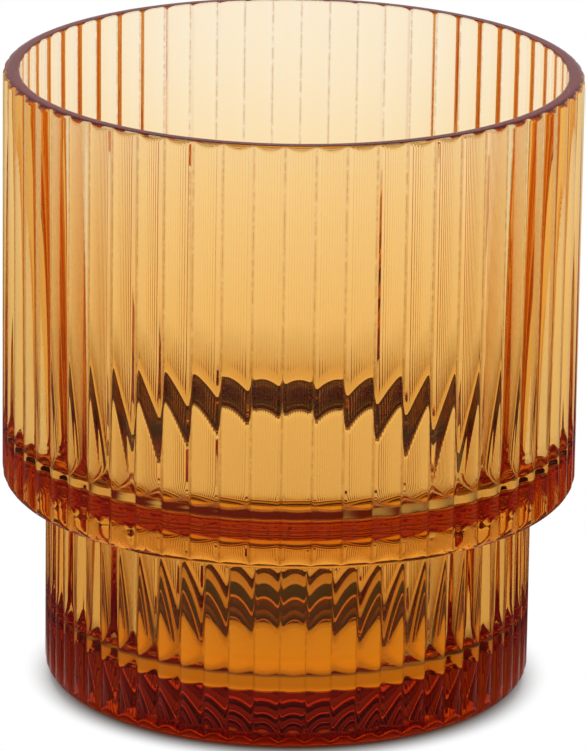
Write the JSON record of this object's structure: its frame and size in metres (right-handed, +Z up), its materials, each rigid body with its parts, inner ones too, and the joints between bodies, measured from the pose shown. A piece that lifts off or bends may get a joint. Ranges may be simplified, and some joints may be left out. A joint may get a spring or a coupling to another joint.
{
  "type": "stepped tea glass",
  "caption": "Clear amber stepped tea glass with fine vertical reeds, a wide bowl over a narrower foot, and a ledge for stacking.",
  "frame": {"origin": "middle of the resting ring under the base, on the table", "axes": "+Z up the axis of the glass, towards the mouth; a reed crest lies on +X"},
  "size_m": [0.082, 0.082, 0.0896],
  "materials": {
    "amber_glass": "fire-polished clear amber soda-lime glass"
  },
  "bodies": {
    "root": {"rim": "amber_glass", "bowl": "amber_glass", "shoulder": "amber_glass", "foot": "amber_glass", "base": "amber_glass"}
  },
  "joints": []
}
